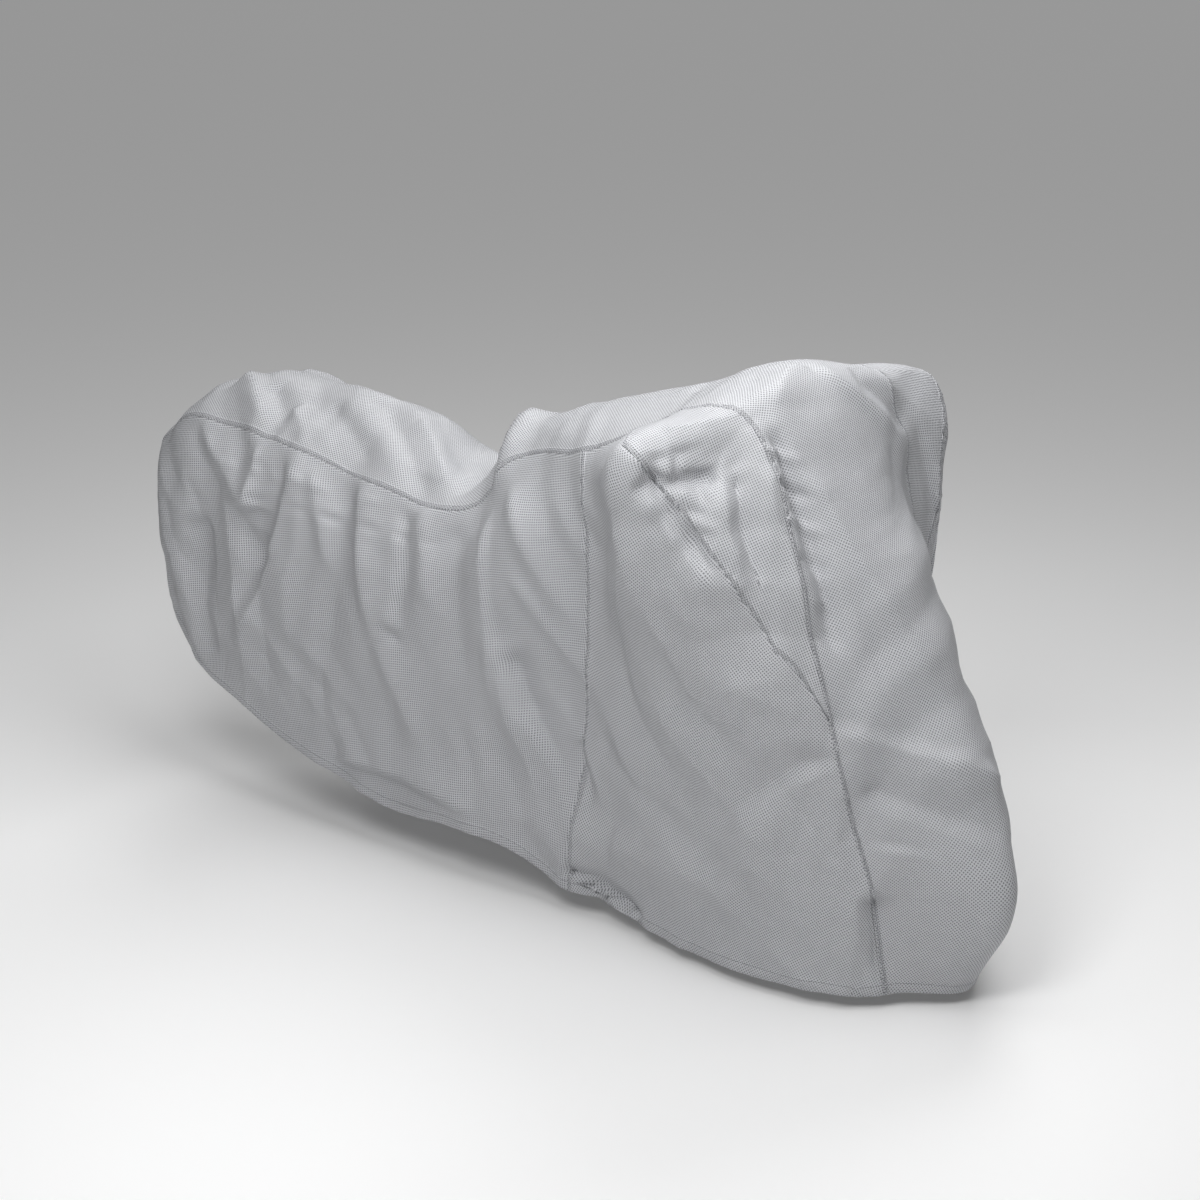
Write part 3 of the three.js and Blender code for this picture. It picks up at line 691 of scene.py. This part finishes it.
def sheet_mesh(name, outer, inner, flat):
    """A closed sheet between an outer and an inner grid of places in mm over the ground, and its cut."""
    rows, columns = outer.shape[:2]
    places = np.concatenate([outer, inner]).reshape(-1, 3) / 1000 - [0, 0, hold_height]
    at = np.arange(2 * rows * columns).reshape(2, rows, columns)

    def quads(a, b, c, d):
        return np.stack([a, b, c, d], axis=-1).reshape(-1, 4)

    top, under = at
    made = np.concatenate([
        quads(top[:-1, :-1], top[1:, :-1], top[1:, 1:], top[:-1, 1:]),
        quads(under[:-1, :-1], under[:-1, 1:], under[1:, 1:], under[1:, :-1]),
        quads(top[:-1, 0], under[:-1, 0], under[1:, 0], top[1:, 0]),
        quads(top[:-1, -1], top[1:, -1], under[1:, -1], under[:-1, -1]),
        quads(top[0, :-1], top[0, 1:], under[0, 1:], under[0, :-1]),
        quads(top[-1, :-1], under[-1, :-1], under[-1, 1:], top[-1, 1:]),
    ])
    mesh = bpy.data.meshes.new(name)
    mesh.from_pydata(places.tolist(), [], made.tolist())
    mesh.shade_smooth()
    on_cut = np.concatenate([flat, flat]).reshape(-1, 2) / 1000
    mesh.uv_layers.new(name="cut").data.foreach_set("uv", on_cut[made.ravel()].ravel())
    return mesh


def flat_cut(points):
    """The flat cut of a panel in mm, from a coarse grid of its places."""
    rows, columns = points.shape[:2]
    at = np.arange(rows * columns).reshape(rows, columns)
    mesh = bpy.data.meshes.new("cut")
    mesh.from_pydata((points.reshape(-1, 3) / 1000).tolist(), [], grid_quads(at).tolist())
    mesh.uv_layers.new(name="cut")
    cut = bpy.data.objects.new("cut", mesh)
    bpy.context.scene.collection.objects.link(cut)
    bpy.context.view_layer.objects.active = cut
    cut.select_set(True)
    bpy.ops.object.mode_set(mode="EDIT")
    bpy.ops.mesh.select_all(action="SELECT")
    bpy.ops.uv.unwrap(method="MINIMUM_STRETCH", iterations=unwrap_rounds, margin=0)
    bpy.ops.object.mode_set(mode="OBJECT")
    corner_uv = np.array([loop.uv[:] for loop in mesh.uv_layers["cut"].data])
    corner_vertex = np.array([loop.vertex_index for loop in mesh.loops])
    flat = np.zeros((rows * columns, 2))
    flat[corner_vertex] = corner_uv
    flat = flat.reshape(rows, columns, 2)
    bpy.data.objects.remove(cut)
    bpy.data.meshes.remove(mesh)
    real = np.linalg.norm(np.diff(points, axis=0), axis=-1).sum()
    drawn = np.linalg.norm(np.diff(flat, axis=0), axis=-1).sum()
    forward = (flat[-1] - flat[0]).sum(axis=0)
    forward = forward / np.linalg.norm(forward)
    turn = np.array([[forward[0], -forward[1]], [forward[1], forward[0]]])
    return flat @ turn * real / drawn


# The cut of each panel: width by length and area in metres, and how it is turned on the roll, in degrees
panel_cuts = {
    "centre_strip": [0.52, 3.32, 1.25, 0],
    "rear_side": [0.89, 1.34, 0.82, -45],
    "front_side": [1.04, 1.18, 0.62, -25],
    "gusset": [0.22, 0.80, 0.085, -42],
}
coarse_rows_per_section = 6
coarse_columns = 24
unwrap_rounds = 12


def on_flat_cut(name, along, across):
    """Where the places of a panel lie on its flat cut, in mm, as it is turned on the roll."""
    first, last, right, left = panel_edges(name)
    coarse = np.linspace(first, last, round((last - first) * coarse_rows_per_section) + 1)[:, None]
    shares = np.linspace(0, 1, coarse_columns + 1)[None]
    coarse_across = right(coarse) + (left(coarse) - right(coarse)) * shares
    cut = flat_cut(cloth_grid(coarse + 0 * shares, coarse_across))
    turn = math.radians(panel_cuts[panel_plan(name)[0]][3])
    cut = cut @ np.array([[math.cos(turn), math.sin(turn)], [-math.sin(turn), math.cos(turn)]])
    over = (across - right(along)) / (left(along) - right(along))
    return on_curves(cut, (along - first) / (last - first), over)


def linear(hex_colour):
    """An sRGB hex value as linear colour."""
    channels = [int(hex_colour[i:i + 2], 16) / 255 for i in (1, 3, 5)]
    return (*[c / 12.92 if c <= 0.04045 else ((c + 0.055) / 1.055) ** 2.4 for c in channels], 1)


def add_node(tree, kind, inputs=None, **settings):
    """Adds a node. An input is a value, or the socket that feeds it."""
    node = tree.nodes.new(kind)
    for key, value in settings.items():
        setattr(node, key, value)
    for key, value in (inputs or {}).items():
        if isinstance(value, bpy.types.NodeSocket):
            tree.links.new(value, node.inputs[key])
        else:
            node.inputs[key].default_value = value
    return node


# Spunbond polypropylene: a web of fine fibres, matt and a little cloudy, pressed flat and shiny in each dot
# of its lattice, which looks darker there because the film lets the shade through. The pitch is coarser than
# on some real cloth, so that it shows. A dot's middle and rim are shares of the pitch.
dot_pitch = 4.7
dot_middle = 0.24
dot_rim = 0.38
dot_wander = 0.06
dot_depth = 0.0003
lattice_turn = 45
clouds_per_metre = 45
fibres_per_metre = 900
fibre_depth = 0.0002
cloth_light = "#c9cacd"
cloth_dark = "#bcbdc1"
dot_colour = "#78797d"
cloth_roughness = 0.72
dot_roughness = 0.45
polypropylene_ior = 1.49


def spunbond():
    material = bpy.data.materials.new("spunbond_polypropylene")
    material.use_nodes = True
    tree = material.node_tree
    tree.nodes.clear()
    cut = add_node(tree, "ShaderNodeUVMap", uv_map="cut").outputs["UV"]
    lattice = add_node(tree, "ShaderNodeMapping", {
        "Vector": cut,
        "Rotation": (0, 0, math.radians(lattice_turn)),
        "Scale": (1000 / dot_pitch, 1000 / dot_pitch, 1),
    }).outputs["Vector"]
    cell = add_node(tree, "ShaderNodeTexVoronoi", {"Vector": lattice, "Scale": 1, "Randomness": dot_wander},
                    voronoi_dimensions="2D").outputs["Distance"]
    dot = add_node(tree, "ShaderNodeMapRange", {
        "Value": cell, "From Min": dot_middle, "From Max": dot_rim, "To Min": 1, "To Max": 0,
    }, interpolation_type="SMOOTHSTEP").outputs["Result"]
    place = add_node(tree, "ShaderNodeTexCoord").outputs["Object"]
    cloud = add_node(tree, "ShaderNodeTexNoise", {
        "Vector": place, "Scale": clouds_per_metre, "Detail": 5, "Roughness": 0.6,
    })
    web = add_node(tree, "ShaderNodeTexNoise", {
        "Vector": place, "Scale": fibres_per_metre, "Detail": 3, "Roughness": 0.7,
    })
    ground = add_node(tree, "ShaderNodeMix", {
        "Factor": cloud.outputs["Fac"], "A": linear(cloth_dark), "B": linear(cloth_light),
    }, data_type="RGBA")
    tone = add_node(tree, "ShaderNodeMix", {
        "Factor": dot, "A": ground.outputs["Result"], "B": linear(dot_colour),
    }, data_type="RGBA")
    roughness = add_node(tree, "ShaderNodeMapRange", {
        "Value": dot, "To Min": cloth_roughness, "To Max": dot_roughness,
    })
    web_bump = add_node(tree, "ShaderNodeBump", {
        "Strength": 0.35, "Distance": fibre_depth, "Height": web.outputs["Fac"],
    })
    dot_bump = add_node(tree, "ShaderNodeBump", {
        "Strength": 0.8, "Distance": dot_depth, "Height": dot, "Normal": web_bump.outputs["Normal"],
    }, invert=True)
    shader = add_node(tree, "ShaderNodeBsdfPrincipled", {
        "Base Color": tone.outputs["Result"],
        "Roughness": roughness.outputs["Result"],
        "Normal": dot_bump.outputs["Normal"],
        "IOR": polypropylene_ior,
    })
    output = add_node(tree, "ShaderNodeOutputMaterial", {"Surface": shader.outputs["BSDF"]})
    output.is_active_output = True
    return material


cloth = spunbond()

# Grey polyester sewing thread, a little faded here and there, drawn about twice as thick as real thread so
# that it shows. Along a seam a dark row of stitches lies in each of the band's two grooves, with an
# overlocked zigzag of a paler thread between them, and a hem has one dark row. The rows' colour is darker
# than the grey thread itself: painted shade in it stands for the shadow in the grooves and stitch holes.
thread = 0.0012
# Grey thread darkened with painted shade of the grooves it lies in
thread_and_painted_groove_shade = "#3e3f43"
overlock_colour = "#88898d"
thread_roughness = 0.6
fading_range = [0.7, 1.3]
faded_spots_per_metre = 30
strands_per_metre = 1500
strand_depth = 0.0002
stitch_step = 4.6
zigzag_step = 3.4
stitch_share = 0.86

# Which entries of an edge's profile the stitches lie in
stitch_rows = {"seam": [3, 6], "hem": [3]}
zigzag_rows = [4, 5]


def polyester_thread():
    material = bpy.data.materials.new("polyester_thread")
    material.use_nodes = True
    tree = material.node_tree
    place = add_node(tree, "ShaderNodeTexCoord").outputs["Object"]
    which = add_node(tree, "ShaderNodeAttribute", attribute_name="row_stitch").outputs["Fac"]
    # Rows take the thread colour with its painted groove shade, the zigzag the paler overlock thread
    colour = add_node(tree, "ShaderNodeMix", {
        "Factor": which, "A": linear(overlock_colour), "B": linear(thread_and_painted_groove_shade),
    }, data_type="RGBA").outputs["Result"]
    sun = add_node(tree, "ShaderNodeTexNoise", {
        "Vector": place, "Scale": faded_spots_per_metre, "Detail": 2,
    }).outputs["Fac"]
    fading = add_node(tree, "ShaderNodeMapRange", {
        "Value": sun, "To Min": fading_range[0], "To Max": fading_range[1],
    }).outputs["Result"]
    faded = add_node(tree, "ShaderNodeHueSaturation", {"Color": colour, "Value": fading}).outputs["Color"]
    strands = add_node(tree, "ShaderNodeTexNoise", {
        "Vector": place, "Scale": strands_per_metre, "Detail": 2,
    }).outputs["Fac"]
    bump = add_node(tree, "ShaderNodeBump", {
        "Strength": 0.4, "Distance": strand_depth, "Height": strands,
    })
    shader = tree.nodes["Principled BSDF"]
    shader.inputs["Roughness"].default_value = thread_roughness
    tree.links.new(faded, shader.inputs["Base Color"])
    tree.links.new(bump.outputs["Normal"], shader.inputs["Normal"])
    return material


def stitching_tree():
    """Lays one stitch on each edge of a line, whose "out" attribute says which way is off the cloth."""
    tree = bpy.data.node_groups.new("stitching", "GeometryNodeTree")
    sockets = {}
    for name, kind in [("Line", "Geometry"), ("Thread", "Float"), ("Share", "Float"), ("Finish", "Material")]:
        socket = tree.interface.new_socket(name, in_out="INPUT", socket_type=f"NodeSocket{kind}")
        sockets[name] = socket.identifier
    tree.interface.new_socket("Stitches", in_out="OUTPUT", socket_type="NodeSocketGeometry")
    given = add_node(tree, "NodeGroupInput").outputs
    ends = add_node(tree, "GeometryNodeInputMeshEdgeVertices").outputs
    reach = add_node(tree, "ShaderNodeVectorMath", {
        0: ends["Position 2"], 1: ends["Position 1"],
    }, operation="SUBTRACT").outputs["Vector"]
    kept = add_node(tree, "GeometryNodeStoreNamedAttribute", {
        "Geometry": given["Line"], "Name": "way", "Value": reach,
    }, data_type="FLOAT_VECTOR", domain="EDGE").outputs["Geometry"]
    points = add_node(tree, "GeometryNodeMeshToPoints", {"Mesh": kept}, mode="EDGES").outputs["Points"]
    way, out = [add_node(tree, "GeometryNodeInputNamedAttribute", {"Name": name},
                         data_type="FLOAT_VECTOR").outputs["Attribute"] for name in ("way", "out")]
    turn = add_node(tree, "FunctionNodeAxesToRotation", {
        "Primary Axis": out, "Secondary Axis": way,
    }, primary_axis="Z", secondary_axis="X").outputs["Rotation"]
    step = add_node(tree, "ShaderNodeVectorMath", {0: way}, operation="LENGTH").outputs["Value"]
    length = add_node(tree, "ShaderNodeMath", {0: step, 1: given["Share"]}, operation="MULTIPLY")
    size = add_node(tree, "ShaderNodeCombineXYZ", {
        "X": length.outputs["Value"], "Y": given["Thread"], "Z": given["Thread"],
    }).outputs["Vector"]
    stitch = add_node(tree, "GeometryNodeMeshIcoSphere", {"Radius": 0.5, "Subdivisions": 1})
    laid = add_node(tree, "GeometryNodeInstanceOnPoints", {
        "Points": points, "Instance": stitch.outputs["Mesh"], "Rotation": turn, "Scale": size,
    }).outputs["Instances"]
    real = add_node(tree, "GeometryNodeRealizeInstances", {"Geometry": laid}).outputs["Geometry"]
    smooth = add_node(tree, "GeometryNodeSetShadeSmooth", {"Geometry": real}).outputs["Geometry"]
    done = add_node(tree, "GeometryNodeSetMaterial", {"Geometry": smooth, "Material": given["Finish"]})
    add_node(tree, "NodeGroupOutput", {"Stitches": done.outputs["Geometry"]})
    return tree, sockets


def walked(places, outwards, step):
    """Places and ways off the cloth at even steps along a line."""
    length = np.concatenate([[0], np.cumsum(np.linalg.norm(np.diff(places, axis=0), axis=1))])
    stops = np.linspace(0, length[-1], max(2, round(length[-1] / step)))
    return [np.stack([np.interp(stops, length, values[:, k]) for k in range(3)], axis=1)
            for values in (places, outwards)]


def stitch_lines(outer, normals, edges):
    """The stitch lines in the grooves of a panel's seams and hems. Each is its places, its ways off the
    cloth, and 1 for a row or 0 for a zigzag."""
    behind, ahead, right, left = edges
    turned_outer, turned_normals = outer.swapaxes(0, 1), normals.swapaxes(0, 1)
    grids = [(right, turned_outer, turned_normals), (left, turned_outer[::-1], turned_normals[::-1]),
             (behind, outer, normals), (ahead, outer[::-1], normals[::-1])]
    lines = []
    for profile, places, outwards in grids:
        for row in stitch_rows.get(profile, []):
            lines.append((*walked(places[row], outwards[row], stitch_step), 1))
        if profile == "seam":
            low, high = [walked(places[row], outwards[row], zigzag_step) for row in zigzag_rows]
            count = min(len(low[0]), len(high[0]))
            odd = (np.arange(count) % 2)[:, None]
            lines.append((*[np.where(odd, a[:count], b[:count]) for a, b in zip(low, high)], 0))
    return lines


thread_finish = polyester_thread()
stitching, stitching_sockets = stitching_tree()


def sewn(name, lines):
    """The stitches of a panel as one mesh object."""
    line_places, line_ways, line_kinds = zip(*lines)
    counts = [len(places) for places in line_places]
    ends = np.cumsum(counts)
    starts = np.delete(np.arange(ends[-1]), ends - 1)
    places = np.concatenate(line_places) / 1000 - [0, 0, hold_height]
    mesh = bpy.data.meshes.new("stitch_lines")
    mesh.from_pydata(places.tolist(), np.stack([starts, starts + 1], axis=1).tolist(), [])
    out = mesh.attributes.new("out", "FLOAT_VECTOR", "POINT")
    out.data.foreach_set("vector", np.concatenate(line_ways).ravel())
    row_stitch = mesh.attributes.new("row_stitch", "FLOAT", "POINT")
    row_stitch.data.foreach_set("value", np.repeat(np.array(line_kinds, float), counts))
    line_object = bpy.data.objects.new("stitch_lines", mesh)
    bpy.context.scene.collection.objects.link(line_object)
    modifier = line_object.modifiers.new("stitching", "NODES")
    modifier.node_group = stitching
    modifier[stitching_sockets["Thread"]] = thread
    modifier[stitching_sockets["Share"]] = stitch_share
    modifier[stitching_sockets["Finish"]] = thread_finish
    graph = bpy.context.evaluated_depsgraph_get()
    sewn_mesh = bpy.data.meshes.new_from_object(line_object.evaluated_get(graph))
    bpy.data.objects.remove(line_object)
    stitches = bpy.data.objects.new(name, sewn_mesh)
    bpy.context.scene.collection.objects.link(stitches)
    return stitches


for name in panel_names:
    kind, _, edges = panel_plan(name)
    along, across, proud = panel_grid(name)
    places = cloth_grid(along, across)
    normals = grid_normals(places)
    rippled = places + normals * puckers(places.reshape(-1, 3)).reshape(along.shape)[..., None]
    outer = rippled + normals * proud[..., None]
    mesh = sheet_mesh(name, outer, rippled - normals * sheet, on_flat_cut(name, along, across))
    mesh.materials.append(cloth)
    panel = bpy.data.objects.new(f"{name}_cloth", mesh)
    bpy.context.scene.collection.objects.link(panel)
    stitches = sewn(f"{name}_stitches", stitch_lines(outer, normals, edges))
    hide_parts(name)
    for piece in (panel, stitches):
        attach(piece, "root")


# A pale floor under the cover, and soft lights as in a studio: two wide ones overhead, of which one stands
# ahead, a broad one beside the camera, and weak light from behind on the left that brightens the top
floor_size = 40
floor_glow = 0.12
room_glow = 0.03
lit_place = Vector((-0.1, 0, -0.3))

floor_mesh = bpy.data.meshes.new("floor")
floor_corners = [(-1, -1), (1, -1), (1, 1), (-1, 1)]
floor_mesh.from_pydata([(x * floor_size, y * floor_size, -hold_height) for x, y in floor_corners],
                       [], [(0, 1, 2, 3)])
floor = bpy.data.objects.new("floor", floor_mesh)
bpy.context.scene.collection.objects.link(floor)
paint = bpy.data.materials.new("matt_white_paint")
paint.use_nodes = True
paint_inputs = paint.node_tree.nodes["Principled BSDF"].inputs
paint_inputs["Base Color"].default_value = linear("#e4e4e4")
paint_inputs["Roughness"].default_value = 0.9
paint_inputs["Emission Color"].default_value = linear("#ffffff")
paint_inputs["Emission Strength"].default_value = floor_glow
floor_mesh.materials.append(paint)

room = bpy.data.worlds.new("room")
room.use_nodes = True
room_inputs = room.node_tree.nodes["Background"].inputs
room_inputs["Color"].default_value = linear("#ffffff")
room_inputs["Strength"].default_value = room_glow
bpy.context.scene.world = room


def add_light(name, kind, place, energy, **settings):
    light = bpy.data.objects.new(name, bpy.data.lights.new(name, kind))
    light.data.energy = energy
    for key, value in settings.items():
        setattr(light.data, key, value)
    light.location = place
    light.rotation_euler = (lit_place - light.location).to_track_quat("-Z", "Y").to_euler()
    bpy.context.scene.collection.objects.link(light)


add_light("overhead", "AREA", (0.2, 0, 1.9), 36, size=2.0)
add_light("overhead_ahead", "AREA", (1.6, -0.6, 1.9), 18, size=1.5)
add_light("above_right_side", "AREA", (0.8, -2.2, 1.9), 50, size=1.2)
add_light("from_behind", "SUN", (-2, 4, 4), 0.9, angle=math.radians(30))

bpy.context.scene.view_settings.view_transform = "Standard"
